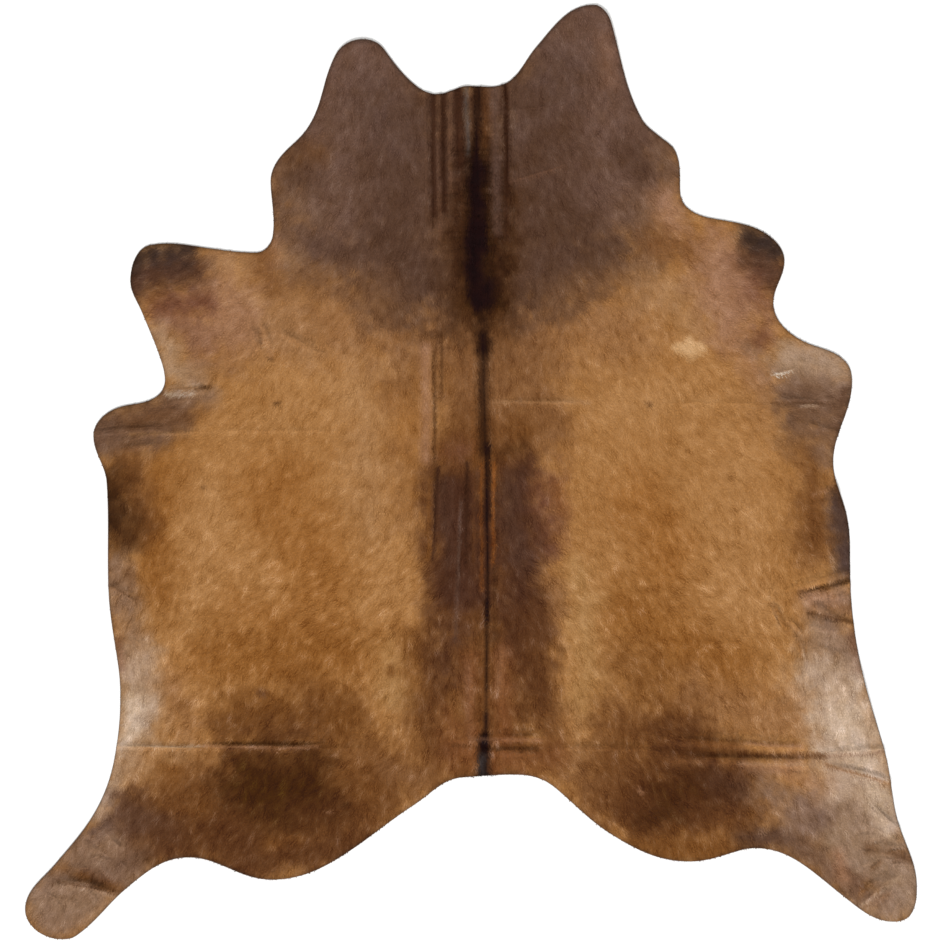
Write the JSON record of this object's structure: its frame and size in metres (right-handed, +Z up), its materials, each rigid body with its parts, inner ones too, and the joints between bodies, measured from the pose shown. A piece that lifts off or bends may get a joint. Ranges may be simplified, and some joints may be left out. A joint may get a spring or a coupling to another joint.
{
  "type": "hair-on cow hide",
  "caption": "Whole hair-on cow hide laid flat as a rug, with legs and neck flaps left on its cut rim, a spine crease, packing folds and wrinkles.",
  "frame": {"origin": "on the floor under the middle of the hide's bounding box", "axes": "+Z up from the floor through the coat, +Y along the spine towards the neck, +X across to the side that lies right of the spine with the neck away from the viewer"},
  "size_m": [2.1, 2.2001, 0.0125],
  "materials": {
    "hair_on_leather": "short golden-brown hair lying flat, soft sheen, suede underneath"
  },
  "bodies": {
    "root": {"hide": "hair_on_leather"}
  },
  "joints": []
}
